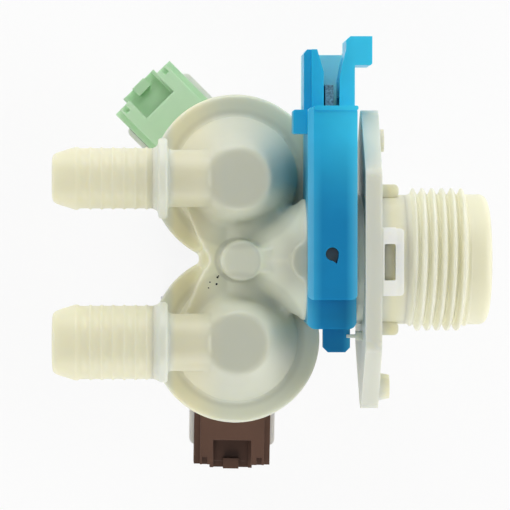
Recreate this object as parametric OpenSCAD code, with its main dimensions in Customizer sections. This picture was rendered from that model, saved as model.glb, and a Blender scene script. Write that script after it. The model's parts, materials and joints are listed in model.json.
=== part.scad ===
// Washing machine inlet valve: one threaded inlet with a flow sensor feeds two
// solenoid valves, each with its own hose tail. Lengths are in millimetres.
// X runs along the inlet, outwards. Z points away from the coils.
// The zero point is on the inlet axis, where the thread ends and the plain end starts.

/* [Inlet] */
// Crest radius of the inlet thread
thread_r = 13.22; // [12.9:0.02:13.5]
// Depth of the thread, crest to root
thread_depth = 1.16; // [0.9:0.02:1.3]
// Thread pitch
thread_pitch = 1.814; // [1.7:0.002:2]
// Number of thread turns
thread_turns = 6; // [5:1:7]
// Length of the plain end in front of the thread
spigot_len = 3.7; // [3:0.1:5]
// Rounding of the inlet mouth
mouth_round = 1.6; // [0.5:0.1:1.8]
// Bore radius of the inlet mouth
inlet_bore_r = 9.8; // [9.4:0.1:10]
// Plain barrel between the flange and the thread
barrel_len = 5.6; // [4.5:0.1:8]

/* [Flange] */
// Distance from the inlet axis to the ends of the panel flange
flange_r = 27.6; // [24:0.2:32]
// Width of the panel flange
flange_w = 28.8; // [28:0.2:34]
// Length of the straight edges of the panel flange
flange_flat = 29.2; // [24:0.2:32]
// Rounding of the flange's ends
flange_tip_r = 4; // [3.6:0.2:6]
// Thickness of the panel flange at the parting line
flange_t = 3.2; // [2.8:0.1:4]
// Draft of the flange's outer face, in degrees
flange_draft = 0.9; // [0:0.1:1.5]
// Distance of each lug from the inlet axis
lug_at = 12.7; // [12.5:0.1:13.5]
// Width of each lug
lug_w = 2.4; // [2:0.1:3.2]
// Length of each lug
lug_len = 3.6; // [2.5:0.1:4.5]
// Width of the loop on the flange
loop_w = 12.2; // [10:0.2:14]
// Length of the loop on the flange
loop_len = 3.8; // [3.5:0.1:5]

/* [Flow sensor] */
// Radius of the seat for the sensor housing
sensor_seat_r = 11.2; // [10.9:0.1:11.4]
// Height of the neck's shoulder above that seat
neck_step = 0.8; // [0.4:0.1:1.2]
// Bore radius of the turbine chamber
turbine_bore_r = 9; // [8.6:0.1:9.2]
// Number of turbine blades
blade_count = 6; // [4:1:8]
// Width of the sensor housing
sensor_w = 8.9; // [8.4:0.1:9.4]
// Wall of the sensor housing
sensor_wall = 1.5; // [1.2:0.1:1.8]
// Thickness of the sensor housing in front of its seat
sensor_cover = 3; // [2.6:0.1:3.8]
// Gap between the sensor housing and the panel flange
sensor_gap = 1.5; // [1:0.1:2]
// Thickness of the circuit board
board_t = 1.5; // [1.2:0.1:1.8]
// Width of the circuit board
board_w = 10; // [9:0.2:11]
// Length of the circuit board
board_len = 18.7; // [17:0.1:20]

/* [Valve chambers] */
// Distance of the coil axes from the flange's outer face
coil_to_flange = 26.2; // [25.8:0.1:28]
// Distance between the two coil axes
coil_pitch = 30; // [29.6:0.1:32]
// Radius of each chamber dome
dome_r = 11.44; // [11:0.02:11.9]
// Radius of the flat cap on each dome
dome_cap_r = 4.9; // [4.6:0.1:5.4]
// Height of the dome's flat cap above the inlet axis
dome_top = 10.8; // [10.4:0.1:11.4]
// Rounding of the cap's edge
cap_round = 1.3; // [0.8:0.1:1.8]
// Rounding between the dome's slope and its upright wall
side_round = 3; // [2.2:0.1:4]
// Wall of the chambers
chamber_wall = 2.1; // [1.6:0.1:2.4]
// Radius of the ring flange round each chamber
ring_r = 15.74; // [15.2:0.02:16.4]
// Thickness of the ring flange
ring_t = 3.5; // [2.8:0.1:4]
// Depth of the joint under the inlet axis
joint_depth = 9; // [8:0.1:10]
// Radius of the guide cover's flange
cover_r = 14.8; // [14.2:0.1:14.8]
// Outer radius of the seat tube
seat_tube_r = 5.9; // [5.6:0.1:6.2]
// Bore radius of the seat tube
seat_bore_r = 4.2; // [3.8:0.1:4.4]

/* [Outlets] */
// Height of the outlets above the inlet axis
outlet_up = 6.2; // [5.8:0.1:6.4]
// Outer radius of the outlet stubs
stub_r = 5.25; // [5:0.05:5.4]
// Distance from the coil axis to the inner end of the stub
stub_start = 5.2; // [4.8:0.1:5.6]
// Distance from the coil axis to the collar
stub_len = 12.5; // [12:0.1:14]
// Radius of the collars
collar_r = 7.35; // [7:0.05:8]
// Thickness of the collars
collar_t = 2.6; // [2:0.1:3.2]
// Radius of the upper hose tail
upper_tail_r = 5.5; // [5.2:0.05:6]
// Radius of the lower hose tail
lower_tail_r = 6.7; // [6.2:0.05:6.9]
// Length of the hose tails
tail_len = 18.7; // [16:0.1:22]
// Bore radius of the outlets
outlet_bore_r = 3.5; // [3.2:0.1:3.7]
// Height of the barb on a hose tail
barb_h = 0.25; // [0.2:0.01:0.26]
// Number of small ridges on a hose tail
ridge_count = 5; // [3:1:6]
// Spacing of the ridges
ridge_pitch = 2.05; // [1.8:0.05:2.2]

/* [Diaphragm and plunger] */
// Radius of the diaphragm
diaphragm_r = 13.4; // [13:0.1:14]
// Thickness of the diaphragm's rim
rim_t = 1.8; // [1.4:0.1:2]
// Thickness of the diaphragm's web
web_t = 0.8; // [0.6:0.1:1]
// Lift of the diaphragm
core_lift = 1.6; // [1.2:0.1:1.8]
// Lift of the plunger
plunger_lift = 2.4; // [2:0.1:2.8]
// Radius of the plunger
plunger_r = 4.6; // [4.4:0.02:4.7]
// Length of the plunger
plunger_len = 21; // [18:0.5:22]
// Wall of the guide tube
guide_wall = 0.8; // [0.6:0.05:1]
// Wire radius of the plunger spring
wire_r = 0.25; // [0.2:0.05:0.35]
// Turns of the plunger spring
spring_turns = 7; // [5:1:9]

/* [Coils] */
// Outer radius of the coil case
coil_r = 12.2; // [11.8:0.1:12.3]
// Length of the coil spool
spool_len = 21.8; // [20:0.2:24]
// Thickness of the steel yoke
yoke_t = 1.6; // [1.2:0.1:2]
// Width of the steel yoke
yoke_w = 13; // [10:0.5:13]
// Direction of the upper plug socket, in degrees from the inlet
upper_turn = 135; // [120:1:150]
// Direction of the lower plug socket, in degrees from the inlet
lower_turn = 269; // [260:1:280]
// Width of the plug sockets
socket_w = 14.5; // [14:0.1:15]
// Height of the plug sockets
socket_h = 10; // [9.6:0.1:11]
// Distance from the coil axis to the end of the plug socket
socket_reach = 24.6; // [24:0.1:26]
// Depth of the plug sockets
socket_depth = 10; // [9.6:0.1:10.4]

/* [Hidden] */
$fn = 64;
e = 0.01;
// Clearance of a running fit, of a seated piece and between bodies
run_gap = 0.08;
seat_gap = 0.1;
part_gap = 0.3;

// Stations along the inlet
root_r = thread_r - thread_depth;
neck_r = sensor_seat_r + neck_step;
sensor_front = sensor_seat_r + sensor_cover;
thread_len = thread_turns * thread_pitch;
flange_face = -thread_len - barrel_len;
flange_back = flange_face - flange_t;
sensor_x1 = flange_back - sensor_gap;
sensor_x0 = sensor_x1 - sensor_w;
coil_x = flange_face - coil_to_flange;
duct_x1 = sensor_x0;
strainer_seat = -3;
strainer_len = 4.4;
basket_step = (strainer_len - 1) / 5;
regulator_seat = -10.4;
cage_x1 = sensor_x1 + 6;
cage_x0 = sensor_x1 - 0.6;
rotor_x1 = cage_x0 - part_gap;
rotor_len = 6.4;
rotor_x0 = rotor_x1 - rotor_len;
bearing_x1 = rotor_x0 - part_gap;
bearing_t = 1.4;
axle_r = 0.75;

// Stations under the inlet axis
joint_z = -joint_depth;
ring_top = joint_z + ring_t;
shoulder_z = ring_top + 2;
cap_centre = [dome_cap_r, dome_top - cap_round];
side_centre = [dome_r - side_round, shoulder_z];
web_top_z = outlet_up - 3;
boss_top = dome_top - 2;
chamber_r = dome_r - chamber_wall;
land_r = diaphragm_r - 1.8;
roll_in = 6.9;
web_top = joint_z + web_t / 2;
pad_top = web_top + 0.4;
pad_bottom = joint_z - web_t / 2;
seat_z = pad_top;
foot_t = 1.2;
foot_bottom = pad_bottom - foot_t;
nozzle_end = foot_bottom - 1;
cup_floor = foot_bottom - core_lift - 1;
cover_flange_t = 2.4;
cup_r = land_r - 0.3;
roll_out = cup_r - seat_gap;
roll_r = (roll_out - web_t / 2 - roll_in) / 2;
roll_mid = roll_in + roll_r;
cup_bottom = cup_floor - 1.4;
guide_in = plunger_r + run_gap;
guide_out = guide_in + guide_wall;
tip_top = nozzle_end;
plunger_top = tip_top - 0.6;
plunger_end = plunger_top - plunger_len;
guide_end = plunger_end - plunger_lift - 1.2;
spring_top = plunger_end + 8;
spring_r = 2;
coil_top = cup_bottom - part_gap;
spool_top = coil_top - yoke_t - 0.1;
spool_bottom = spool_top - spool_len;
yoke_bottom = spool_bottom - 0.1 - yoke_t;
guide_tail = yoke_bottom + 0.4;
bush_in = guide_out + seat_gap;
bush_out = bush_in + 0.8;
spool_in = bush_out + seat_gap;
spool_out = spool_in + 0.8;
spool_flange_r = coil_r - 1.2;
winding_r = spool_flange_r - 0.7;
winding_z0 = spool_bottom + 1.3;
winding_z1 = spool_top - 1.3;
yoke_reach = coil_r + 0.2;

// The circuit board in the sensor housing
board_x = sensor_x0 + 0.478 * sensor_w;
board_y0 = sensor_seat_r + 2.2;
sensor_y0 = -sensor_seat_r - 1.2;
sensor_y1 = sensor_seat_r + 16.7;
sensor_step_y = -sensor_seat_r + 4.2;
sensor_low_front = sensor_seat_r + 0.4;
prong_y = sensor_y1 + 10.7;
hook_y = sensor_y1 + 13.1;
sensor_back = ring_top + part_gap;
board_z0 = sensor_back + 1.4;

// Plug socket
socket_top = spool_top;
socket_z0 = socket_top - socket_h;
socket_side = 1.15;
socket_floor = 1.5;
socket_roof = 1.3;
socket_in_w = socket_w - 2 * socket_side - 2.4;
cradle_reach = 21;
pin_gap = 5;

// Turns a profile of radius and height into a solid round the inlet axis
module round_inlet(x = 0) {
  translate([x, 0, 0])
    rotate([0, 90, 0])
      rotate_extrude($fn = 96)
        children();
}

// A rod along the inlet axis from x0 to x1
module rod_x(r, x0, x1, r2 = 0) {
  translate([x0, 0, 0])
    rotate([0, 90, 0])
      cylinder(r1 = r, r2 = r2 == 0 ? r : r2, h = x1 - x0, $fn = 96);
}

// An upright rod from z0 to z1
module rod_z(r, z0, z1) {
  translate([0, 0, z0])
    cylinder(r = r, h = z1 - z0);
}

// An upright tube from z0 to z1
module tube_z(r_out, r_in, z0, z1) {
  difference() {
    rod_z(r_out, z0, z1);
    rod_z(r_in, z0 - 1, z1 + 1);
  }
}

// A flat rectangle with round corners, from its lower left corner
module rounded_rect(w, h, r) {
  translate([r, 0])
    square([w - 2 * r, h]);
  translate([0, r])
    square([w, h - 2 * r]);
  for (x = [r, w - r], y = [r, h - r])
    translate([x, y])
      circle(r);
}

// Places a piece on the upper (1) or the lower (-1) coil axis
module at_coil(side) {
  translate([coil_x, side * coil_pitch / 2, 0])
    children();
}

// Thread turns in profile: root, flank, crest, flank
function thread_profile(x0) =
  let (flank = thread_depth * tan(27.5), land = thread_pitch / 6)
  [for (i = [0 : thread_turns - 1])
    let (x = x0 + i * thread_pitch + land)
    each [[root_r, x], [thread_r, x + flank], [thread_r, x + flank + land], [root_r, x + 2 * flank + land]]];

// Pieces of the valve body

module inlet_barrel() {
  round_inlet()
    polygon(concat([[0, flange_back + 1], [root_r - 0.1, flange_back + 1], [root_r - 0.1, -thread_len - 0.2],
                    [root_r, -thread_len]],
                   thread_profile(-thread_len),
                   [[root_r, 0], [root_r, e], [0, e]]));
  round_inlet()
    union() {
      square([root_r, spigot_len - mouth_round]);
      square([root_r - mouth_round, spigot_len]);
      translate([root_r - mouth_round, spigot_len - mouth_round])
        circle(mouth_round);
    }
}

// Where the outer tangent of two circles touches each of them
function outer_tangent(c1, r1, c2, r2) =
  let (v = c2 - c1, a = atan2(v[1], v[0]) + acos((r1 - r2) / norm(v)), n = [cos(a), sin(a)])
  [c1 + r1 * n, c2 + r2 * n];

// Long plate with rounded ends, in the plane across the inlet
module flange_outline() {
  corner_r = 3;
  corner = [flange_flat / 2, flange_w / 2 - corner_r];
  tip = [flange_r - flange_tip_r, 0];
  t = outer_tangent(corner, corner_r, tip, flange_tip_r);
  for (m = [0, 1], k = [0, 1])
    mirror([m, 0])
      mirror([0, k])
        union() {
          polygon([[-e, -e], [-e, flange_w / 2], [corner[0], flange_w / 2], t[0], t[1], [tip[0] + e, -e]]);
          translate(corner)
            circle(corner_r);
          translate(tip)
            circle(flange_tip_r);
        }
}

module panel_flange() {
  drop = flange_r * tan(flange_draft);
  intersection() {
    translate([flange_back, 0, 0])
      rotate([90, 0, 90])
        linear_extrude(flange_t)
          flange_outline();
    translate([0, flange_r + 1, 0])
      rotate([90, 0, 0])
        linear_extrude(2 * flange_r + 2)
          polygon([[flange_back, -flange_r - 1], [flange_face - drop, -flange_r - 1], [flange_face, -0.6],
                   [flange_face, 0.6], [flange_face - drop, flange_r + 1], [flange_back, flange_r + 1]]);
  }
  for (s = [-1, 1])
    translate([flange_face - 0.6, s * lug_at - lug_w / 2, -3.5])
      lug();
  panel_loop();
  translate([0, flange_r - 5.6, 0])
    rod_x(2.1, flange_face - 0.5, flange_face + 1.05);
  translate([0, 4 - flange_r, 0])
    rod_x(2.7, flange_face - 0.5, flange_face + 2.1, 2.2);
}

module lug() {
  translate([0, 0, 0])
    linear_extrude(7)
      union() {
        square([lug_len - 0.2, lug_w]);
        translate([1, 0])
          rounded_rect(lug_len - 0.4, lug_w, 0.9);
      }
}

module panel_loop() {
  z0 = neck_r + 0.2;
  translate([flange_face - 0.8, -loop_w / 2 - 0.2, z0])
    difference() {
      linear_extrude(2)
        difference() {
          rounded_rect(loop_len + 0.8, loop_w, 0.7);
          translate([1, loop_w / 2 - 3.3])
            rounded_rect(loop_len - 1.7, 6.6, 0.3);
        }
      translate([loop_len - 0.6, -1, 1.2])
        cube([2, loop_w + 2, 2]);
    }
  for (s = [-1, 1])
    translate([flange_face - 0.8, s * (loop_w / 2 - 0.9) - 0.9, z0 - 3.4])
      cube([loop_len - 0.6, 1.8, 3.6]);
}

module neck() {
  rod_x(neck_r, sensor_x1 + 0.1, flange_back + 1);
  rod_x(sensor_seat_r, sensor_x0 - 0.6, sensor_x1 + 1);
}

// The duct widens from the domes to the neck
function duct_r(x) =
  let (x0 = coil_x + 4, x1 = sensor_x0)
  6.9 + (sensor_seat_r - 0.1 - 6.9) * (x - x0) / (x1 - x0);

module inlet_duct() {
  x0 = coil_x + 0.9;
  rod_x(duct_r(x0), x0, duct_x1, duct_r(duct_x1));
}

// Half section of the dome's outside: upright wall, slope and flat cap with rounded edges
module dome_profile() {
  base = ring_top - e;
  t = outer_tangent(cap_centre, cap_round, side_centre, side_round);
  polygon([[0, base], [dome_r, base], [dome_r, shoulder_z], t[1], t[0], [dome_cap_r, dome_top], [0, dome_top]]);
  translate(cap_centre)
    circle(cap_round, $fn = 48);
  intersection() {
    translate(side_centre)
      circle(side_round, $fn = 96);
    translate([0, base])
      square([dome_r, dome_top]);
  }
}

// The room inside it, one wall away
module dome_void_profile() {
  t = outer_tangent(cap_centre, cap_round, side_centre, side_round);
  n = (t[0] - cap_centre) / cap_round;
  hi = t[0] - chamber_wall * n;
  lo = t[1] - chamber_wall * n;
  polygon([[0, joint_z - e], [dome_r - chamber_wall, joint_z - e], [dome_r - chamber_wall, shoulder_z - 0.4],
           lo, hi, [0, hi[1]]]);
}

module dome() {
  rotate_extrude($fn = 96)
    dome_profile();
  rotate_extrude($fn = 96)
    union() {
      translate([0, joint_z])
        square([ring_r, ring_t - 0.5]);
      translate([0, joint_z])
        square([ring_r - 0.5, ring_t]);
      translate([ring_r - 0.5, ring_top - 0.5])
        circle(0.5, $fn = 32);
    }
}

// The web that joins the two chambers, with its waist and its bosses
module centre_web() {
  half = coil_pitch / 2;
  translate([coil_x, 0, ring_top - 1])
    linear_extrude(web_top_z - ring_top + 1)
      polygon([[-9.6, half - 4.6], [-8.5, half - 7.6], [-7.3, half - 10.4], [-6.2, 2.4], [-5, 0.6], [-5, -0.6],
               [-6.2, -2.4], [-7.3, 10.4 - half], [-8.5, 7.6 - half], [-9.6, 4.6 - half], [0, -half],
               [8, 5.6 - half], [8, half - 5.6], [0, half]]);
  // Rounded saddle between the domes
  translate([coil_x + 2.6, 0, web_top_z - 5.6])
    rotate([90, 0, 0])
      cylinder(r = 7.2, h = coil_pitch, center = true, $fn = 96);
  translate([coil_x - 6.9, -1.6, ring_top - 1])
    cube([4, 3.2, 3.6]);
  translate([coil_x + 0.7, 0, 0])
    rod_z(3.8, 0, boss_top - 0.5);
  translate([coil_x + 0.7, 0, boss_top - 0.5])
    cylinder(r1 = 3.8, r2 = 3.3, h = 0.5);
  translate([coil_x + 4.3, -2.3, 0])
    cube([1.8, 4.6, boss_top - 0.7]);
  // Rib on the duct
  translate([coil_x, 0.55, 0])
    rotate([90, 0, 0])
      linear_extrude(1.1)
        polygon([[2, 0], [2, boss_top - 0.5], [6, boss_top - 0.5], [12, sensor_seat_r - 0.2], [12, 0]]);
  translate([coil_x + 13.6, 0, 0])
    intersection() {
      rod_z(4, 0, sensor_seat_r + 2);
      rod_x(sensor_seat_r, -5, 5);
    }
}

module outlet_shell(side, tail_r) {
  translate([0, 0, outlet_up])
    rotate([0, -90, 0]) {
      translate([0, 0, stub_start])
        cylinder(r = stub_r, h = stub_len - stub_start + 1);
      translate([0, 0, stub_len])
        rotate_extrude()
          rounded_collar();
      translate([0, 0, stub_len + collar_t - 1])
        hose_tail(tail_r);
    }
  rod_z(seat_tube_r, seat_z + 0.5, dome_top - 0.5);
  rotate_extrude()
    seat_lip();
}

module rounded_collar() {
  square([collar_r - 0.4, collar_t]);
  translate([0, 0.4])
    square([collar_r, collar_t - 0.8]);
  for (y = [0.4, collar_t - 0.4])
    translate([collar_r - 0.4, y])
      circle(0.4, $fn = 24);
}

// The seat is a round lip that the diaphragm presses on
module seat_lip() {
  lip = (seat_tube_r - seat_bore_r) / 2;
  translate([seat_bore_r, seat_z + lip])
    square([2 * lip, 2]);
  translate([seat_bore_r + lip, seat_z + lip])
    circle(lip, $fn = 32);
}

// Hose tail: a tapered nose with a sharp barb, then small ridges, then a smooth length
module hose_tail(r) {
  n = ridge_count;
  nose = tail_len + 1;
  barb = nose - 4.2;
  first = barb - 2.4;
  ridges = [for (i = [0 : n - 1])
    let (y = first - i * ridge_pitch)
    each [[r, y], [r + 0.22, y - 0.35], [r, y - 0.75]]];
  rotate_extrude()
    polygon(concat([[0, 0], [0, nose], [r - 0.9, nose], [r - 0.65, nose - 0.35], [r + barb_h, barb],
                    [r + barb_h, barb - 0.5], [r, barb - 0.8]],
                   ridges,
                   [[r, 0]]));
}

module outlet_bores(side, tail_r) {
  wide = tail_r - 1.7;
  translate([0, 0, outlet_up])
    rotate([0, -90, 0]) {
      translate([0, 0, 0.9 - seat_bore_r])
        cylinder(r = outlet_bore_r, h = seat_bore_r + stub_len + collar_t + tail_len + 5);
      translate([0, 0, stub_len + collar_t])
        cylinder(r = max(wide, outlet_bore_r), h = tail_len + 5);
    }
  rod_z(seat_bore_r, seat_z - 1, outlet_up);
}

// The ring chamber round the seat tube, flared where the diaphragm rolls
module chamber_void() {
  rotate_extrude($fn = 96)
    dome_void_profile();
  rod_z(cup_r, joint_z - 1, joint_z + 2.4);
}

// The recess that holds the diaphragm's rim and its flat land; side is 1 above the joint and -1 below it
module rim_recess(side) {
  mirror([0, 0, side > 0 ? 0 : 1])
    translate([0, 0, side * joint_z]) {
      tube_z(diaphragm_r + seat_gap, land_r, -1, rim_t / 2);
      tube_z(land_r + e, cup_r - 1, -1, web_t / 2);
    }
}

module inlet_void() {
  rod_x(inlet_bore_r, strainer_seat, spigot_len + 1);
  rod_x(inlet_bore_r - 0.3, regulator_seat, strainer_seat + 1);
  rod_x(turbine_bore_r, duct_x1 - e, regulator_seat + 1);
  x0 = coil_x + 3;
  rod_x(duct_r(x0) - 2.1, x0, duct_x1, turbine_bore_r);
  translate([coil_x + 4.2, 0, -1.6])
    rotate([90, 0, 0])
      cylinder(r = 3.1, h = coil_pitch / 2, center = true);
}

module axle_bearing() {
  rod_x(2.2, bearing_x1 - bearing_t, bearing_x1);
  for (a = [0 : 120 : 359])
    rotate([a, 0, 0])
      translate([bearing_x1 - bearing_t, -0.7, 1])
        cube([bearing_t, 1.4, turbine_bore_r]);
}

module valve_body() {
  color([0.9, 0.88, 0.8])
  difference() {
    union() {
      difference() {
        union() {
          inlet_barrel();
          panel_flange();
          neck();
          inlet_duct();
          centre_web();
          for (s = [-1, 1])
            at_coil(s)
              dome();
        }
        inlet_void();
        for (s = [-1, 1])
          at_coil(s) {
            chamber_void();
            rim_recess(1);
            rod_z(cover_r + part_gap, joint_z - 4, joint_z);
          }
      }
      at_coil(1)
        outlet_shell(1, upper_tail_r);
      at_coil(-1)
        outlet_shell(-1, lower_tail_r);
      axle_bearing();
    }
    at_coil(1)
      outlet_bores(1, upper_tail_r);
    at_coil(-1)
      outlet_bores(-1, lower_tail_r);
    rod_x(axle_r + 0.02, bearing_x1 - bearing_t + 0.3, bearing_x1 + 1);
  }
}

// Pieces in the inlet

module inlet_strainer() {
  color([0.93, 0.93, 0.9]) {
    round_inlet(strainer_seat)
      difference() {
        square([inlet_bore_r - seat_gap, strainer_len]);
        translate([-1, -1])
          square([inlet_bore_r - seat_gap - 1, strainer_len + 2]);
      }
    // Ribs and hoops of the basket, which is deepest in the middle
    for (a = [0 : 30 : 359])
      rotate([a, 0, 0])
        basket_rib();
    for (i = [1 : 4])
      round_inlet(strainer_seat + strainer_len - 0.7 - i * basket_step)
        translate([basket_r(i) - 0.3, 0])
          square([0.6, 0.6]);
    rod_x(2.2, strainer_seat, strainer_seat + 0.8);
    // Grip for pulling the strainer out
    rod_x(0.9, strainer_seat, strainer_seat + 3);
    rod_x(1.6, strainer_seat + 2.4, strainer_seat + 3.2);
  }
}

function basket_r(i) = inlet_bore_r - seat_gap - 1 - i * 1.4;

module basket_rib() {
  r0 = inlet_bore_r - seat_gap - 0.6;
  x1 = strainer_seat + strainer_len;
  translate([0, 0.25, 0])
    rotate([90, 0, 0])
      linear_extrude(0.5)
        polygon([[x1 - 0.1, r0], [x1 - 0.7, r0], [strainer_seat + 0.1, 1.6], [strainer_seat + 0.7, 1.6]]);
}

module regulator_holder() {
  x1 = strainer_seat - part_gap;
  color([0.85, 0.85, 0.8])
    difference() {
      rod_x(inlet_bore_r - 0.3 - seat_gap, x1 - 5, x1);
      rod_x(6.6, x1 - 3.2, x1 + 1);
      for (a = [0 : 60 : 359])
        rotate([a, 0, 0])
          translate([0, 0, 4.6])
            rod_x(1.1, x1 - 6, x1);
      rod_x(2, x1 - 6, x1);
    }
}

module regulator_washer() {
  x1 = strainer_seat - part_gap;
  color([0.12, 0.12, 0.12])
    round_inlet(x1 - 3.2)
      difference() {
        union() {
          square([6.4, 2.4]);
          translate([0, 2.4])
            square([5.6, 0.3]);
        }
        translate([-1, -1])
          square([3.6, 5]);
      }
}

module turbine_cage() {
  color([0.3, 0.32, 0.34])
    difference() {
      union() {
        difference() {
          rod_x(turbine_bore_r - seat_gap, cage_x0, cage_x1);
          rod_x(turbine_bore_r - seat_gap - 1, cage_x0 - 1, cage_x1 + 1);
        }
        rod_x(2.6, cage_x0, cage_x1 - 1);
        // Swirl vanes that set the water turning
        for (a = [0 : 45 : 359])
          rotate([a, 0, 0])
            translate([(cage_x0 + cage_x1) / 2, 0, 2])
              rotate([0, 0, 28])
                translate([-2.6, -0.4, 0])
                  cube([5.2, 0.8, turbine_bore_r - seat_gap - 2.5]);
      }
      rod_x(axle_r + 0.02, cage_x0 - 1, cage_x0 + 4);
    }
}

module turbine_axle() {
  color([0.7, 0.7, 0.72])
    rod_x(axle_r, bearing_x1 - bearing_t + 0.3, cage_x0 + 4);
}

module turbine_rotor() {
  tip = turbine_bore_r - 0.4;
  color([0.2, 0.2, 0.22])
    difference() {
      union() {
        rod_x(2.4, rotor_x0, rotor_x1);
        rod_x(4.1, rotor_x0, rotor_x0 + 1);
        intersection() {
          rod_x(tip, rotor_x0, rotor_x1);
          for (i = [0 : blade_count - 1])
            rotate([i * 360 / blade_count, 0, 0])
              translate([(rotor_x0 + rotor_x1) / 2, 0, 2])
                rotate([0, 0, -32])
                  translate([-3.4, -0.45, 0])
                    cube([6.8, 0.9, tip]);
        }
      }
      rod_x(axle_r + 0.05, rotor_x0 - 1, rotor_x1 + 1);
      difference() {
        rod_x(4.3, rotor_x0 + 1, rotor_x0 + 3.6 + seat_gap);
        rod_x(2.4, rotor_x0, rotor_x1);
      }
    }
}

module turbine_magnet() {
  color([0.25, 0.22, 0.2])
    difference() {
      rod_x(4.2, rotor_x0 + 1, rotor_x0 + 3.6);
      rod_x(2.4 + 0.05, rotor_x0, rotor_x1);
    }
}

// Flow sensor housing

module sensor_housing() {
  color([0.1, 0.6, 0.85])
    difference() {
      union() {
        sensor_shell();
        left_prong();
        latch_prong();
        lower_tab();
      }
      board_pocket();
      drain_hole();
      rod_x(sensor_seat_r + seat_gap, sensor_x0 - 3, sensor_x1 + 1);
    }
}

module sensor_shell() {
  // The main front block, with a bevelled left edge
  difference() {
    translate([sensor_x0, sensor_step_y, sensor_back])
      linear_extrude(sensor_front - sensor_back)
        rounded_rect(sensor_w, sensor_y1 - sensor_step_y, 1);
    translate([sensor_x0, sensor_y1 + 1, sensor_front])
      rotate([90, 0, 0])
        linear_extrude(sensor_y1 - sensor_step_y + 2)
          polygon([[-1, -2], [1.5, 0.5], [-1, 0.5]]);
  }
  // The lower part stands further back
  translate([sensor_x0, sensor_y0, sensor_back])
    linear_extrude(sensor_low_front - sensor_back)
      rounded_rect(sensor_w, sensor_step_y - sensor_y0 + 3, 1.4);
  // Lip band along the upper edge
  translate([sensor_x0 + 1.1, sensor_y1 - 0.6, sensor_front - 3])
    linear_extrude(3.3)
      rounded_rect(sensor_w - 0.95, 0.8, 0.3);
  // Ear beside the block
  translate([sensor_x0 - 2.5, sensor_y1 - 4.8, 3])
    linear_extrude(6.5)
      rounded_rect(4, 4.4, 0.4);
  // Back wall behind the plug
  translate([sensor_x0, sensor_y1 - 3, sensor_back])
    cube([sensor_w, prong_y - 0.6 - sensor_y1 + 3, 1.4]);
}

module left_prong() {
  x = sensor_x0 - 0.4;
  y0 = sensor_y1 - 3;
  translate([0, 0, sensor_back])
    linear_extrude(11)
      polygon([[x, y0], [x, prong_y - 0.8], [x + 0.6, prong_y], [x + 2.4, prong_y], [x + 3.6, prong_y - 4.2],
               [x + 3.6, y0]]);
  translate([0, 0, sensor_back])
    linear_extrude(12)
      polygon([[x + 1.4, y0], [x + 1.4, prong_y], [x + 2.4, prong_y], [x + 3.6, prong_y - 4.2], [x + 3.6, y0]]);
}

module latch_prong() {
  x = sensor_x0 + 6;
  y0 = sensor_y1 - 3;
  nose = 5;
  translate([0, 0, sensor_back])
    linear_extrude(12)
      polygon([[x, y0], [x + 0.15, hook_y - 7.6], [x + 0.7, hook_y - 4.8], [x + 1.3, hook_y - 2.5],
               [x + 1.3, hook_y - 0.8], [x + 2.1, hook_y], [x + 6.1, hook_y], [x + 6.1, hook_y - nose],
               [x + 5.8, hook_y - nose - 0.3], [x + 2.9, hook_y - nose - 0.3], [x + 2.9, y0]]);
}

module lower_tab() {
  translate([sensor_x0 + 3.2, sensor_y0 - 4.6, 2.6])
    linear_extrude(1.8)
      polygon([[0, 6], [0, 0.9], [0.9, 0], [4.1, 0], [5, 0.9], [5, 6]]);
}

// The pocket is open at the top and holds the board in two side slots
module board_pocket() {
  x0 = sensor_x0 + sensor_wall;
  w = sensor_w - 2 * sensor_wall;
  translate([x0, board_y0, board_z0 + 1])
    cube([w, sensor_y1 - board_y0 + 2, board_w - 2]);
  translate([board_x - board_t / 2 - 0.05, board_y0, board_z0])
    cube([board_t + 0.1, 40, board_w + 0.1]);
}

module drain_hole() {
  translate([board_x + 0.1, 1.3, 6])
    linear_extrude(sensor_front - 4)
      union() {
        circle(1.2, $fn = 32);
        polygon([[-1.05, -0.55], [1.15, 0.3], [1.15, -0.6], [0.85, -1.75]]);
      }
}

module sensor_board() {
  color([0.1, 0.35, 0.2])
    translate([board_x - board_t / 2, board_y0, board_z0])
      cube([board_t, board_len, board_w]);
}

module sensor_chip() {
  color([0.08, 0.08, 0.08])
    translate([board_x + board_t / 2, board_y0 + 0.4, board_z0 + 3])
      cube([1.2, 3, 4]);
}

// The two valves, built on their own axis

module diaphragm() {
  color([0.1, 0.1, 0.1])
    rotate_extrude($fn = 96)
      diaphragm_profile();
}

// Rim, flat land, rolled web and a thicker pad with its hole for the core
module diaphragm_profile() {
  hole = 2.6 + seat_gap;
  translate([land_r, joint_z - rim_t / 2])
    square([diaphragm_r - land_r, rim_t]);
  translate([roll_out - web_t, joint_z - web_t / 2])
    square([land_r - roll_out + web_t + 0.1, web_t]);
  intersection() {
    translate([roll_mid, joint_z + web_t / 2])
      difference() {
        circle(roll_r + web_t / 2);
        circle(roll_r - web_t / 2);
      }
    translate([0, joint_z - 4])
      square([land_r, 4 + web_t / 2]);
  }
  translate([hole, pad_bottom])
    square([roll_in - hole + 0.3, web_t]);
  translate([hole, pad_bottom])
    square([6.3 - hole, pad_top - pad_bottom]);
}

// Foot, hub through the diaphragm, guide fins in the seat tube and the pilot nozzle
module core() {
  color([0.95, 0.95, 0.95])
    difference() {
      union() {
        rod_z(6, foot_bottom, pad_bottom);
        rod_z(2.6, foot_bottom, pad_top + 0.2);
        rod_z(3.4, pad_top, pad_top + 0.7);
        intersection() {
          rod_z(seat_bore_r - 0.25, pad_top, pad_top + 3.2);
          for (a = [0, 90])
            rotate([0, 0, a])
              translate([-5, -0.5, pad_top])
                cube([10, 1, 3.2]);
        }
        rod_z(1.5, nozzle_end, foot_bottom + 0.5);
      }
      rod_z(0.5, nozzle_end - 1, pad_top + 4);
    }
}

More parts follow.
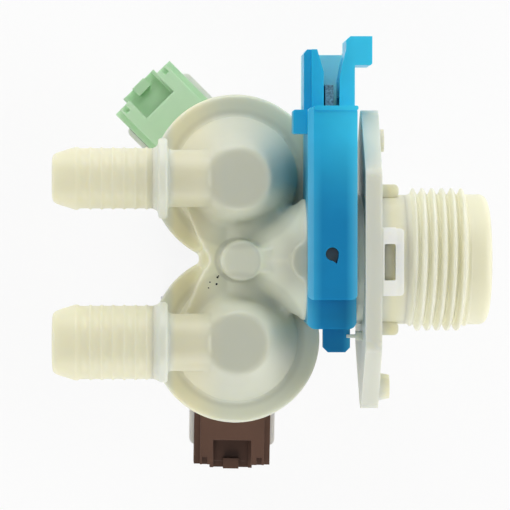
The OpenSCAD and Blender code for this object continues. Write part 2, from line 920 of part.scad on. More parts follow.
module plunger() {
  color([0.6, 0.6, 0.62])
    difference() {
      union() {
        rod_z(plunger_r, plunger_end + 0.5, plunger_top - 0.5);
        translate([0, 0, plunger_end])
          cylinder(r1 = plunger_r - 0.5, r2 = plunger_r, h = 0.5);
        translate([0, 0, plunger_top - 0.5])
          cylinder(r1 = plunger_r, r2 = plunger_r - 0.5, h = 0.5);
      }
      rod_z(2.7, plunger_end - 1, spring_top);
      rod_z(2.2, plunger_top - 2.2, plunger_top + 1);
      // Grooves that let water past
      for (a = [0 : 180 : 359])
        rotate([0, 0, a])
          translate([plunger_r - 0.5, -0.6, plunger_end - 1])
            cube([2, 1.2, plunger_len + 3]);
    }
}

module tip() {
  color([0.15, 0.15, 0.15])
    rod_z(2.15, plunger_top - 2.2, tip_top);
}

// Compression spring: a round wire swept along its coil, closed at both ends
module spring() {
  color([0.75, 0.75, 0.78])
    coil_wire(guide_end + 0.05, spring_top - 0.05);
}

module coil_wire(z0, z1) {
  per_turn = 16;
  n = spring_turns * per_turn;
  sides = 6;
  run = z1 - z0 - 2 * wire_r;
  points = [for (i = [0 : n])
    let (a = 360 * i / per_turn, h = z0 + wire_r + run * coil_rise(i / n))
    for (k = [0 : sides - 1])
      let (b = 360 * k / sides, r = spring_r + wire_r * cos(b))
      [r * cos(a), r * sin(a), h + wire_r * sin(b)]];
  faces = [for (i = [0 : n - 1], k = [0 : sides - 1])
    let (p = i * sides + k, q = i * sides + (k + 1) % sides)
    [p, q, q + sides, p + sides]];
  polyhedron(points, concat(faces, [[for (k = [sides - 1 : -1 : 0]) k]],
                            [[for (k = [0 : sides - 1]) n * sides + k]]));
}

// The end turns lie flatter than the middle ones
function coil_rise(t) = t - 0.5 * sin(360 * t) / 6.2832;

module guide() {
  color([0.93, 0.92, 0.88])
    difference() {
      union() {
        rod_z(cover_r, joint_z - cover_flange_t, joint_z);
        rod_z(cup_r + 1.4, cup_bottom, joint_z - 1);
        rod_z(guide_out, guide_tail, cup_bottom + 1);
      }
      rim_recess(-1);
      rod_z(cup_r, cup_floor, joint_z + 1);
      rod_z(guide_in, guide_end, cup_floor + 1);
    }
}

module spool(turn, tone) {
  color(tone) {
    difference() {
      union() {
        tube_z(spool_out, spool_in, spool_bottom, spool_top);
        tube_z(spool_flange_r, spool_in, spool_bottom, winding_z0 - 0.05);
        tube_z(spool_flange_r, spool_in, winding_z1 + 0.05, spool_top);
        rotate([0, 0, turn])
          plug_socket();
      }
      rotate([0, 0, turn])
        terminal_pair(0.03);
    }
  }
}

// Plug socket: roof with a window, side rails set lower, floor with a tongue
module plug_socket() {
  x0 = coil_r - 1;
  x1 = socket_reach;
  main_w = socket_w - 2 * socket_side;
  difference() {
    union() {
      translate([x0, -main_w / 2, socket_z0])
        cube([x1 - x0, main_w, socket_h]);
      translate([x0 + 2, -socket_w / 2, socket_z0 + 1.2])
        cube([x1 - x0 - 2, socket_w, socket_h - 2.6]);
      translate([spool_out - 0.2, -main_w / 2 + 0.3, winding_z1 + 0.2])
        cube([x0 - spool_out + 1, main_w - 0.6, spool_top - winding_z1 - 0.4]);
    }
    // Cavity
    translate([x1 - socket_depth, -socket_in_w / 2, socket_z0 + socket_floor])
      cube([socket_depth + 4, socket_in_w, socket_h - socket_floor - socket_roof]);
    // Window in the roof
    translate([x1 - 4.7, -3.65, socket_top - 3])
      cube([8, 7.3, 4]);
    // Keys at the roof's ends
    for (s = [-1, 1])
      translate([x1 - 1.4, s * (main_w / 2 - 0.9) - 0.5, socket_top - 0.6])
        cube([2, 1, 2]);
  }
  // Tongue below the mouth with a wall on each side, and the nose that the plug latches on
  translate([x1 - 1, -4.1, socket_z0 + 0.1])
    cube([2.2, 8.2, socket_floor - 0.2]);
  for (s = [-1, 1])
    translate([x1 - 4.5, s * 3.7 - 0.35, socket_z0 + socket_floor - 0.3])
      cube([5.7, 0.7, 1.5]);
  translate([x1 - 0.6, -1.5, socket_z0 + 0.5])
    cube([2, 3, socket_floor + 0.6]);
}

module terminal_pair(gap) {
  z = socket_z0 + socket_floor + 3.6;
  for (s = [-1, 1])
    translate([coil_r - 0.6 - gap, s * pin_gap / 2 - 1.1 - gap, z - 0.4 - gap])
      cube([socket_reach - socket_depth + 5.2 - coil_r + 0.6 + gap * 2, 2.2 + gap * 2, 0.8 + gap * 2]);
}

module terminals(turn) {
  color([0.8, 0.78, 0.72])
    rotate([0, 0, turn])
      terminal_pair(0);
}

module winding() {
  color([0.72, 0.4, 0.2])
    tube_z(winding_r, spool_out + 0.05, winding_z0, winding_z1);
}

// Steel loop round the coil with a bush at each pole
module yoke(turn) {
  color([0.72, 0.73, 0.75])
    rotate([0, 0, turn])
      difference() {
        union() {
          for (z = [yoke_bottom, coil_top - yoke_t])
            translate([-yoke_w / 2, -yoke_reach - yoke_t, z])
              cube([yoke_w, 2 * (yoke_reach + yoke_t), yoke_t]);
          for (s = [-1, 1])
            translate([-yoke_w / 2, s * (yoke_reach + yoke_t / 2) - yoke_t / 2, yoke_bottom])
              cube([yoke_w, yoke_t, coil_top - yoke_bottom]);
          rod_z(bush_out, yoke_bottom, yoke_bottom + 7);
          rod_z(bush_out, coil_top - 7, coil_top);
        }
        rod_z(bush_in, yoke_bottom - 1, coil_top + 1);
      }
}

// Moulded case: a round shell closed by the spool's flanges, and a cradle for the socket
module coil_case(turn) {
  color([0.9, 0.89, 0.84])
    rotate([0, 0, turn])
      difference() {
        union() {
          rod_z(coil_r, spool_bottom, spool_top);
          translate([0, 0, socket_z0 - 1.6])
            linear_extrude(socket_h - 1.4)
              translate([8, -socket_w / 2 - 0.9])
                rounded_rect(cradle_reach - 8, socket_w + 1.8, 1.2);
        }
        rod_z(spool_flange_r + seat_gap, spool_bottom - 1, spool_top + 1);
        translate([4, -socket_w / 2 - 0.05, socket_z0 - 0.05])
          cube([30, socket_w + 0.1, socket_h + 3]);
      }
}

module upper_diaphragm()
  at_coil(1)
    diaphragm();

module upper_core()
  at_coil(1)
    core();

module upper_plunger()
  at_coil(1)
    plunger();

module upper_tip()
  at_coil(1)
    tip();

module upper_spring()
  at_coil(1)
    spring();

module upper_guide()
  at_coil(1)
    guide();

module upper_spool()
  at_coil(1)
    spool(upper_turn, [0.6, 0.85, 0.7]);

module upper_winding()
  at_coil(1)
    winding();

module upper_yoke()
  at_coil(1)
    yoke(upper_turn);

module upper_case()
  at_coil(1)
    coil_case(upper_turn);

module upper_terminals()
  at_coil(1)
    terminals(upper_turn);

module lower_diaphragm()
  at_coil(-1)
    diaphragm();

module lower_core()
  at_coil(-1)
    core();

module lower_plunger()
  at_coil(-1)
    plunger();

module lower_tip()
  at_coil(-1)
    tip();

module lower_spring()
  at_coil(-1)
    spring();

module lower_guide()
  at_coil(-1)
    guide();

module lower_spool()
  at_coil(-1)
    spool(lower_turn, [0.4, 0.28, 0.26]);

module lower_winding()
  at_coil(-1)
    winding();

module lower_yoke()
  at_coil(-1)
    yoke(lower_turn);

module lower_case()
  at_coil(-1)
    coil_case(lower_turn);

module lower_terminals()
  at_coil(-1)
    terminals(lower_turn);

valve_body();
inlet_strainer();
regulator_holder();
regulator_washer();
turbine_cage();
turbine_axle();
turbine_rotor();
turbine_magnet();
sensor_housing();
sensor_board();
sensor_chip();
upper_diaphragm();
upper_core();
upper_plunger();
upper_tip();
upper_spring();
upper_guide();
upper_spool();
upper_winding();
upper_yoke();
upper_case();
upper_terminals();
lower_diaphragm();
lower_core();
lower_plunger();
lower_tip();
lower_spring();
lower_guide();
lower_spool();
lower_winding();
lower_yoke();
lower_case();
lower_terminals();
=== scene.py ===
"""Looks of the washing machine inlet valve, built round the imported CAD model. Metres, same frame."""
import json
import math

import bmesh
import bpy
from mathutils import Matrix, Vector

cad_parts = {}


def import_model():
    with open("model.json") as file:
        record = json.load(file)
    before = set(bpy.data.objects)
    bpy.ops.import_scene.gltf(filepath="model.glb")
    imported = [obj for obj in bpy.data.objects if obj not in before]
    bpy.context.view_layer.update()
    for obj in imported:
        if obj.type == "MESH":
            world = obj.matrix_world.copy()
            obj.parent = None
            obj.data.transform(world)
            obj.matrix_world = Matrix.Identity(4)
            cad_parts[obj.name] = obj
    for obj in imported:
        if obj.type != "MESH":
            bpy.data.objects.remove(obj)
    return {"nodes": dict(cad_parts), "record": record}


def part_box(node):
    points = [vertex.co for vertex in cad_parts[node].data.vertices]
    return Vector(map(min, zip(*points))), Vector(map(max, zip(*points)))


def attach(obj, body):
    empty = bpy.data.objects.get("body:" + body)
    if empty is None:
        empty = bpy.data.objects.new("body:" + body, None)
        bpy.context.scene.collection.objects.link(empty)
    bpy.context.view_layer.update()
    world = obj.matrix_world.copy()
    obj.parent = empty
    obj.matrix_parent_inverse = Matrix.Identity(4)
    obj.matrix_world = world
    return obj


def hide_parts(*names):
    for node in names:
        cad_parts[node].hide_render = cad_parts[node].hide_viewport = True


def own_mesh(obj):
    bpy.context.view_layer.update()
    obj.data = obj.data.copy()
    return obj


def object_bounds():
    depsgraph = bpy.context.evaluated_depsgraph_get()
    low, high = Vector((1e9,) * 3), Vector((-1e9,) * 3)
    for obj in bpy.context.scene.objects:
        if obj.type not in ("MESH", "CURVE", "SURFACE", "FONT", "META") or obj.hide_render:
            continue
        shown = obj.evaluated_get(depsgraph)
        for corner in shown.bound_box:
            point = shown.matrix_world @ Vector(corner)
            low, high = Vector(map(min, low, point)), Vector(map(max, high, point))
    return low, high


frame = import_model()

MM = 0.001
cad_box = [list(c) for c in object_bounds()]


# ---- materials ----

def new_material(name):
    m = bpy.data.materials.new(name)
    m.use_nodes = True
    nt = m.node_tree
    bsdf = nt.nodes["Principled BSDF"]
    return m, nt, bsdf


def mottle(nt, bsdf, low, high, scale, detail=4.0, stretch=(1, 1, 1)):
    """Two close tones of one colour mixed by soft noise in object space."""
    coord = nt.nodes.new("ShaderNodeTexCoord")
    mapping = nt.nodes.new("ShaderNodeMapping")
    mapping.inputs["Scale"].default_value = stretch
    nt.links.new(coord.outputs["Object"], mapping.inputs["Vector"])
    tex = nt.nodes.new("ShaderNodeTexNoise")
    tex.inputs["Scale"].default_value = scale
    tex.inputs["Detail"].default_value = detail
    nt.links.new(mapping.outputs["Vector"], tex.inputs["Vector"])
    ramp = nt.nodes.new("ShaderNodeValToRGB")
    ramp.color_ramp.elements[0].position = 0.3
    ramp.color_ramp.elements[0].color = (*low, 1)
    ramp.color_ramp.elements[1].position = 0.7
    ramp.color_ramp.elements[1].color = (*high, 1)
    nt.links.new(tex.outputs["Fac"], ramp.inputs["Fac"])
    nt.links.new(ramp.outputs["Color"], bsdf.inputs["Base Color"])
    return mapping, ramp


def add_bump(nt, bsdf, mapping, scale, strength, distance, rough_low=None, rough_high=None):
    tex = nt.nodes.new("ShaderNodeTexNoise")
    tex.inputs["Scale"].default_value = scale
    tex.inputs["Detail"].default_value = 3
    nt.links.new(mapping.outputs["Vector"], tex.inputs["Vector"])
    bump = nt.nodes.new("ShaderNodeBump")
    bump.inputs["Strength"].default_value = strength
    bump.inputs["Distance"].default_value = distance
    nt.links.new(tex.outputs["Fac"], bump.inputs["Height"])
    nt.links.new(bump.outputs["Normal"], bsdf.inputs["Normal"])
    if rough_low is not None:
        mr = nt.nodes.new("ShaderNodeMapRange")
        mr.inputs["To Min"].default_value = rough_low
        mr.inputs["To Max"].default_value = rough_high
        nt.links.new(tex.outputs["Fac"], mr.inputs["Value"])
        nt.links.new(mr.outputs["Result"], bsdf.inputs["Roughness"])


def plastic(name, low, high, rough, spec=0.5, sss=0.0, radius=(0.002, 0.0018, 0.0014), scale=60, grain=900, bump=0.12):
    m, nt, b = new_material(name)
    mapping, ramp = mottle(nt, b, low, high, scale)
    add_bump(nt, b, mapping, grain, bump, 0.0001, rough - 0.05, rough + 0.07)
    b.inputs["Specular IOR Level"].default_value = spec
    if sss:
        b.inputs["Subsurface Weight"].default_value = sss
        b.inputs["Subsurface Radius"].default_value = radius
        b.inputs["Subsurface Scale"].default_value = 1.0
    return m


def metal(name, low, high, rough, stretch=(1, 1, 1), scale=200):
    m, nt, b = new_material(name)
    mapping, ramp = mottle(nt, b, low, high, scale, 6, stretch)
    add_bump(nt, b, mapping, scale * 4, 0.1, 0.00005, rough - 0.06, rough + 0.08)
    b.inputs["Metallic"].default_value = 1.0
    return m


def winding_material():
    """Fine turns of enamelled wire round the coil axis."""
    m, nt, b = new_material("copper_wire")
    mapping, ramp = mottle(nt, b, (0.36, 0.12, 0.04), (0.62, 0.26, 0.1), 90)
    wave = nt.nodes.new("ShaderNodeTexWave")
    wave.wave_type = "BANDS"
    wave.bands_direction = "Z"
    wave.inputs["Scale"].default_value = 1200
    nt.links.new(mapping.outputs["Vector"], wave.inputs["Vector"])
    bump = nt.nodes.new("ShaderNodeBump")
    bump.inputs["Strength"].default_value = 0.8
    bump.inputs["Distance"].default_value = 0.0001
    nt.links.new(wave.outputs["Fac"], bump.inputs["Height"])
    nt.links.new(bump.outputs["Normal"], b.inputs["Normal"])
    b.inputs["Metallic"].default_value = 1.0
    b.inputs["Roughness"].default_value = 0.35
    return m


def flattened(nt, coord):
    """Object coordinates seen along the coil axes."""
    flat = nt.nodes.new("ShaderNodeVectorMath")
    flat.operation = "MULTIPLY"
    flat.inputs[1].default_value = (1, 1, 0)
    nt.links.new(coord.outputs["Object"], flat.inputs[0])
    return flat.outputs["Vector"]


def distance_to(nt, flat, x, y):
    far = nt.nodes.new("ShaderNodeVectorMath")
    far.operation = "DISTANCE"
    far.inputs[1].default_value = (x, y, 0)
    nt.links.new(flat, far.inputs[0])
    return far.outputs["Value"]


def combine(nt, operation, first, second):
    """A maths node; either input may be a socket or a number."""
    node = nt.nodes.new("ShaderNodeMath")
    node.operation = operation
    for socket, value in zip(node.inputs, (first, second)):
        if isinstance(value, (int, float)):
            socket.default_value = value
        else:
            nt.links.new(value, socket)
    return node.outputs["Value"]


def ranged(nt, value, low, high, at_low, at_high):
    node = nt.nodes.new("ShaderNodeMapRange")
    node.interpolation_type = "SMOOTHSTEP"
    for key, number in (("From Min", low), ("From Max", high), ("To Min", at_low), ("To Max", at_high)):
        node.inputs[key].default_value = number
    nt.links.new(value, node.inputs["Value"])
    return node.outputs["Result"]


def specks(nt, flat):
    """A few dark specks in the web beside the boss: 1 inside a speck, 0 elsewhere."""
    inside = [combine(nt, "LESS_THAN", distance_to(nt, flat, x * MM, y * MM), r * MM) for x, y, r in SPECKS]
    total = inside[0]
    for one in inside[1:]:
        total = combine(nt, "MAXIMUM", total, one)
    return total


COIL_X = -42.684 * MM
SPECKS = [(-46.25, -3.2, 0.2), (-47.65, -4.1, 0.13), (-46.42, -4.45, 0.2), (-47.9, -5.15, 0.13), (-46.05, -2.95, 0.12)]


def moulding(name, depth, radius):
    """Natural plastic: warm where the tubes are thin, cooler and greyer over the thick chambers. This is partly the
    plastic's tint and partly painted light through the thin walls and painted shade in the closed chambers. On top of
    that there is painted shade on the dome caps, the boss top and the duct by the housing, and painted light on the
    ring flanges and round the boss.
    """
    m, nt, b = new_material(name)
    coord = nt.nodes.new("ShaderNodeTexCoord")
    sep = nt.nodes.new("ShaderNodeSeparateXYZ")
    nt.links.new(coord.outputs["Object"], sep.inputs["Vector"])
    ramp = nt.nodes.new("ShaderNodeValToRGB")
    span = nt.nodes.new("ShaderNodeMapRange")
    span.inputs["From Min"].default_value = -0.0765
    span.inputs["From Max"].default_value = 0.0037
    nt.links.new(sep.outputs["X"], span.inputs["Value"])
    nt.links.new(span.outputs["Result"], ramp.inputs["Fac"])
    # WARM on the tubes and PALE over the domes: partly the plastic's tint, partly painted light through thin tube walls
    # and painted shade over the closed chambers
    stops = [(0.0, WARM), (0.225, WARM), (0.238, COLLAR), (0.266, COLLAR), (0.28, WARM), (0.33, WARM), (0.39, PALE),
             (0.7, PALE), (0.71, LIGHT), (0.752, LIGHT), (0.775, WARM), (0.82, TIP),
             (1.0, TIP)]
    el = ramp.color_ramp.elements
    el[0].position, el[0].color = 0.0, (*WARM, 1)
    el[1].position, el[1].color = 1.0, (*WARM, 1)
    for pos, col in stops[1:-1]:
        e = el.new(pos)
        e.color = (*col, 1)
    noise = nt.nodes.new("ShaderNodeTexNoise")
    noise.inputs["Scale"].default_value = 70
    noise.inputs["Detail"].default_value = 4
    nt.links.new(coord.outputs["Object"], noise.inputs["Vector"])
    tone = nt.nodes.new("ShaderNodeMapRange")
    tone.inputs["To Min"].default_value = 0.95
    tone.inputs["To Max"].default_value = 1.04
    nt.links.new(noise.outputs["Fac"], tone.inputs["Value"])
    shade = tone.outputs["Result"]
    flat = flattened(nt, coord)
    axes = [distance_to(nt, flat, COIL_X, side * 15 * MM) for side in (1, -1)]
    nearest = combine(nt, "MINIMUM", *axes)
    # painted shade: the up-facing dome caps darkened to 0.9 within 4.6 mm of the coil axes
    shade = combine(nt, "MULTIPLY", shade, ranged(nt, nearest, 4.6 * MM, 6.5 * MM, 0.9, 1.0))
    # painted light: the outer ring flanges made 1.13 times brighter than the ring next to the domes
    shade = combine(nt, "MULTIPLY", shade, ranged(nt, nearest, 12.4 * MM, 13.4 * MM, 1.0, 1.13))
    boss = distance_to(nt, flat, COIL_X, 0)
    # painted shade on the top of the central boss (0.92) and painted light on the web round it (1.18), fading back by
    # 10.5 mm
    shade = combine(nt, "MULTIPLY", shade, ranged(nt, boss, 3.9 * MM, 4.4 * MM, 0.92, 1.18))
    shade = combine(nt, "MULTIPLY", shade, ranged(nt, boss, 6.5 * MM, 10.5 * MM, 1.0, 0.85))
    # painted shade on the duct beside the blue housing, darkened to 0.72; partly also the deeper tone of the thicker
    # body there
    duct_end = distance_to(nt, flat, COIL_X + 11.5 * MM, 0)
    shade = combine(nt, "MULTIPLY", shade, ranged(nt, duct_end, 1.5 * MM, 8 * MM, 0.72, 1.0))
    # the loop on the flange is thin and stays pale
    above = ranged(nt, sep.outputs["Z"], 12.1 * MM, 12.3 * MM, 0, 1)
    along = ranged(nt, sep.outputs["X"], -16.6 * MM, -16.4 * MM, 0, 1)
    before = ranged(nt, sep.outputs["X"], -12.0 * MM, -11.8 * MM, 1, 0)
    pale_loop = nt.nodes.new("ShaderNodeMix")
    pale_loop.data_type = "RGBA"
    nt.links.new(combine(nt, "MULTIPLY", above, combine(nt, "MULTIPLY", along, before)), pale_loop.inputs["Factor"])
    nt.links.new(ramp.outputs["Color"], pale_loop.inputs["A"])
    pale_loop.inputs["B"].default_value = (*LOOP, 1)
    mix = nt.nodes.new("ShaderNodeVectorMath")
    mix.operation = "SCALE"
    nt.links.new(pale_loop.outputs["Result"], mix.inputs[0])
    nt.links.new(shade, mix.inputs["Scale"])
    specked = nt.nodes.new("ShaderNodeMix")
    specked.data_type = "RGBA"
    nt.links.new(specks(nt, flat), specked.inputs["Factor"])
    nt.links.new(mix.outputs["Vector"], specked.inputs["A"])
    specked.inputs["B"].default_value = (0.01, 0.01, 0.01, 1)
    nt.links.new(specked.outputs["Result"], b.inputs["Base Color"])
    mapping = nt.nodes.new("ShaderNodeMapping")
    nt.links.new(coord.outputs["Object"], mapping.inputs["Vector"])
    add_bump(nt, b, mapping, 700, 0.1, 0.0001, 0.36, 0.48)
    b.inputs["Subsurface Weight"].default_value = depth
    b.inputs["Subsurface Radius"].default_value = radius
    b.inputs["Subsurface Scale"].default_value = 1.0
    return m


def mask_inside(material):
    """Green lacquer on the board, except where its bare edge shows above the housing."""
    nt = material.node_tree
    b = nt.nodes["Principled BSDF"]
    bare = b.inputs["Base Color"].links[0].from_socket
    coord = nt.nodes.new("ShaderNodeTexCoord")
    sep = nt.nodes.new("ShaderNodeSeparateXYZ")
    nt.links.new(coord.outputs["Object"], sep.inputs["Vector"])
    mix = nt.nodes.new("ShaderNodeMix")
    mix.data_type = "RGBA"
    mix.inputs["A"].default_value = (0.004, 0.045, 0.02, 1)
    nt.links.new(bare, mix.inputs["B"])
    nt.links.new(ranged(nt, sep.outputs["Y"], 0.0255, 0.0265, 0.0, 1.0), mix.inputs["Factor"])
    nt.links.new(mix.outputs["Result"], b.inputs["Base Color"])


def housing():
    """Clear-tinted blue: painted highlights along the rounded side edges of the block, lighter prongs, deeper over the
    middle of the block, and painted light on the back wall between the prongs.
    """
    m, nt, b = new_material("blue_plastic")
    lo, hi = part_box("sensor_housing")
    coord = nt.nodes.new("ShaderNodeTexCoord")
    sep = nt.nodes.new("ShaderNodeSeparateXYZ")
    nt.links.new(coord.outputs["Object"], sep.inputs["Vector"])
    left = hi.x - 12.2 * MM
    across = nt.nodes.new("ShaderNodeMapRange")
    across.inputs["From Min"].default_value = left
    across.inputs["From Max"].default_value = left + 8.9 * MM
    nt.links.new(sep.outputs["X"], across.inputs["Value"])
    ramp = nt.nodes.new("ShaderNodeValToRGB")
    el = ramp.color_ramp.elements
    el[0].position, el[0].color = 0.0, (*BLUE_EDGE_HIGHLIGHT, 1)
    el[1].position, el[1].color = 1.0, (*BLUE_EDGE_HIGHLIGHT, 1)
    # painted highlight: both side edges of the block made lighter, fading through the side tone to the deep middle, as
    # light caught on rounded edges
    for pos, col in ((0.13, BLUE_SIDE), (0.3, BLUE_DEEP), (0.78, BLUE_DEEP), (0.9, BLUE_SIDE)):
        el.new(pos).color = (*col, 1)
    nt.links.new(across.outputs["Result"], ramp.inputs["Fac"])
    along = nt.nodes.new("ShaderNodeMapRange")
    along.inputs["From Min"].default_value = 0.006
    along.inputs["From Max"].default_value = 0.0285
    along.interpolation_type = "SMOOTHSTEP"
    nt.links.new(sep.outputs["Y"], along.inputs["Value"])
    deep = nt.nodes.new("ShaderNodeMapRange")
    deep.inputs["From Min"].default_value = lo.z + 1.5 * MM
    deep.inputs["From Max"].default_value = lo.z + 2.6 * MM
    nt.links.new(sep.outputs["Z"], deep.inputs["Value"])
    # painted light: the back wall between the prongs is light cyan, standing in for light shining through it from
    # behind
    prongs = nt.nodes.new("ShaderNodeMix")
    prongs.data_type = "RGBA"
    prongs.inputs["A"].default_value = (*BLUE_WALL_GLOW, 1)
    tips = nt.nodes.new("ShaderNodeMix")
    tips.data_type = "RGBA"
    tips.inputs["A"].default_value = (*BLUE_PRONG, 1)
    tips.inputs["B"].default_value = (*BLUE_HOOK, 1)
    nt.links.new(across.outputs["Result"], tips.inputs["Factor"])
    nt.links.new(tips.outputs["Result"], prongs.inputs["B"])
    nt.links.new(deep.outputs["Result"], prongs.inputs["Factor"])
    whole = nt.nodes.new("ShaderNodeMix")
    whole.data_type = "RGBA"
    nt.links.new(along.outputs["Result"], whole.inputs["Factor"])
    nt.links.new(ramp.outputs["Color"], whole.inputs["A"])
    nt.links.new(prongs.outputs["Result"], whole.inputs["B"])
    noise = nt.nodes.new("ShaderNodeTexNoise")
    noise.inputs["Scale"].default_value = 160
    nt.links.new(coord.outputs["Object"], noise.inputs["Vector"])
    tone = nt.nodes.new("ShaderNodeMapRange")
    tone.inputs["To Min"].default_value = 0.9
    tone.inputs["To Max"].default_value = 1.08
    nt.links.new(noise.outputs["Fac"], tone.inputs["Value"])
    scaled = nt.nodes.new("ShaderNodeVectorMath")
    scaled.operation = "SCALE"
    nt.links.new(whole.outputs["Result"], scaled.inputs[0])
    nt.links.new(tone.outputs["Result"], scaled.inputs["Scale"])
    nt.links.new(scaled.outputs["Vector"], b.inputs["Base Color"])
    mapping = nt.nodes.new("ShaderNodeMapping")
    nt.links.new(coord.outputs["Object"], mapping.inputs["Vector"])
    add_bump(nt, b, mapping, 500, 0.12, 0.0001, 0.3, 0.42)
    b.inputs["Specular IOR Level"].default_value = 0.35
    b.inputs["Subsurface Weight"].default_value = 0.2
    b.inputs["Subsurface Radius"].default_value = (0.0004, 0.0016, 0.0022)
    b.inputs["Subsurface Scale"].default_value = 1.0
    return m


# WARM and PALE: partly the plastic's tint, partly painted light through the thin tubes and painted shade over the
# closed chambers
WARM = (0.735, 0.71, 0.52)
TIP = (0.78, 0.77, 0.62)
LOOP = (0.78, 0.79, 0.74)
COLLAR = (0.64, 0.66, 0.575)
PALE = (0.64, 0.66, 0.54)
LIGHT = (0.6, 0.615, 0.54)
BLUE_DEEP = (0.002, 0.225, 0.48)
# the side and edge blues are painted highlights on the rounded edges of the block
BLUE_SIDE = (0.03, 0.36, 0.62)
BLUE_EDGE_HIGHLIGHT = (0.09, 0.44, 0.68)
BLUE_HOOK = (0.045, 0.62, 0.9)
BLUE_PRONG = (0.012, 0.42, 0.72)
# painted light: the back wall colour stands in for light shining through the clear plastic
BLUE_WALL_GLOW = (0.4, 0.9, 1.0)
CREAM = moulding("cream_plastic", 0.5, (0.0026, 0.0023, 0.0015))
THREAD_CREAM = moulding("thread_plastic", 0.6, (0.003, 0.0029, 0.0026))
COVER = plastic("cover_plastic", (0.8, 0.79, 0.73), (0.85, 0.84, 0.78), 0.42, sss=0.2)
CASE = plastic("case_plastic", (0.8, 0.8, 0.75), (0.86, 0.85, 0.8), 0.42, sss=0.25)
WHITE = plastic("white_plastic", (0.82, 0.82, 0.8), (0.87, 0.87, 0.85), 0.4, sss=0.1)
BLUE = housing()
GREEN = plastic("green_plastic", (0.57, 0.82, 0.55), (0.63, 0.86, 0.6), 0.42, sss=0.25, radius=(0.001, 0.0016, 0.0012))
BROWN = plastic("brown_plastic", (0.1, 0.05, 0.032), (0.14, 0.07, 0.046), 0.42)
GREY = plastic("grey_plastic", (0.12, 0.12, 0.125), (0.17, 0.17, 0.175), 0.45)
DARK = plastic("dark_plastic", (0.02, 0.02, 0.02), (0.04, 0.04, 0.042), 0.4)
RUBBER = plastic("black_rubber", (0.015, 0.015, 0.015), (0.035, 0.035, 0.035), 0.7, spec=0.3, grain=1500, bump=0.25)
BOARD = plastic("board_laminate", (0.03, 0.07, 0.1), (0.22, 0.42, 0.52), 0.6, scale=2600, bump=0.6)
mask_inside(BOARD)
STEEL = metal("bright_steel", (0.55, 0.55, 0.56), (0.68, 0.68, 0.7), 0.25, (1, 1, 12))
ZINC = metal("zinc_steel", (0.42, 0.44, 0.47), (0.56, 0.57, 0.6), 0.52)
MAGNET = plastic("magnet", (0.03, 0.028, 0.026), (0.06, 0.055, 0.05), 0.5)
TIN = metal("tin_plate", (0.62, 0.6, 0.55), (0.75, 0.73, 0.7), 0.3)
COPPER = winding_material()

FINISH = {
    "valve_body": CREAM, "inlet_strainer": WHITE, "regulator_holder": WHITE, "regulator_washer": RUBBER,
    "turbine_cage": GREY, "turbine_axle": STEEL, "turbine_rotor": DARK, "turbine_magnet": MAGNET,
    "sensor_housing": BLUE, "sensor_board": BOARD, "sensor_chip": DARK,
}
for side, spool in (("upper", GREEN), ("lower", BROWN)):
    FINISH.update({
        f"{side}_diaphragm": RUBBER, f"{side}_core": WHITE, f"{side}_plunger": STEEL, f"{side}_tip": RUBBER,
        f"{side}_spring": STEEL, f"{side}_guide": COVER, f"{side}_spool": spool, f"{side}_winding": COPPER,
        f"{side}_yoke": ZINC, f"{side}_case": CASE, f"{side}_terminals": TIN,
    })


def paint(obj, material):
    obj.data.materials.clear()
    obj.data.materials.append(material)


def soften(obj, width, segments=2, angle=32):
    """Small moulded edges by modifiers, which leave the CAD mesh as it is."""
    weld = obj.modifiers.new("weld", "WELD")
    weld.merge_threshold = 1e-6
    flat = obj.modifiers.new("flat", "DECIMATE")
    flat.decimate_type = "DISSOLVE"
    flat.angle_limit = math.radians(0.5)
    bevel = obj.modifiers.new("bevel", "BEVEL")
    bevel.width = width
    bevel.segments = segments
    bevel.limit_method = "ANGLE"
    bevel.angle_limit = math.radians(angle)
    bevel.miter_outer = "MITER_ARC"
    bevel.use_clamp_overlap = True
    bevel.harden_normals = True
    return bevel


for name, material in FINISH.items():
    paint(frame["nodes"][name], material)

EDGES = {"sensor_housing": 0.22, "upper_spool": 0.15, "lower_spool": 0.15, "upper_case": 0.25, "lower_case": 0.25,
         "upper_yoke": 0.15, "lower_yoke": 0.15, "upper_guide": 0.2, "lower_guide": 0.2}
for name, width in EDGES.items():
    soften(frame["nodes"][name], width * MM)


# ---- the moulded body ----

def link(name, mesh, material, body="valve"):
    obj = bpy.data.objects.new(name, mesh)
    bpy.context.scene.collection.objects.link(obj)
    mesh.materials.append(material)
    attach(obj, body)
    return obj


def lathe(name, rings, sides, place, material):
    """Closed solid of revolution from a closed loop of (along, radius) points."""
    bm = bmesh.new()
    loops = []
    for i in range(sides):
        a = 2 * math.pi * i / sides
        loops.append([bm.verts.new(place @ Vector((x, r * math.cos(a), r * math.sin(a)))) for x, r in rings])
    n = len(rings)
    for i in range(sides):
        p, q = loops[i], loops[(i + 1) % sides]
        for k in range(n):
            m = (k + 1) % n
            f = bm.faces.new((p[k], q[k], q[m], p[m]))
            f.smooth = True
    bmesh.ops.recalc_face_normals(bm, faces=bm.faces)
    mesh = bpy.data.meshes.new(name)
    bm.to_mesh(mesh)
    bm.free()
    return link(name, mesh, material)


def arc(cx, cr, radius, start, end, steps=6):
    """Points of a fillet, angles in degrees from the axis direction."""
    pts = []
    for i in range(steps + 1):
        a = math.radians(start + (end - start) * i / steps)
        pts.append((cx + radius * math.cos(a), cr + radius * math.sin(a)))
    return pts


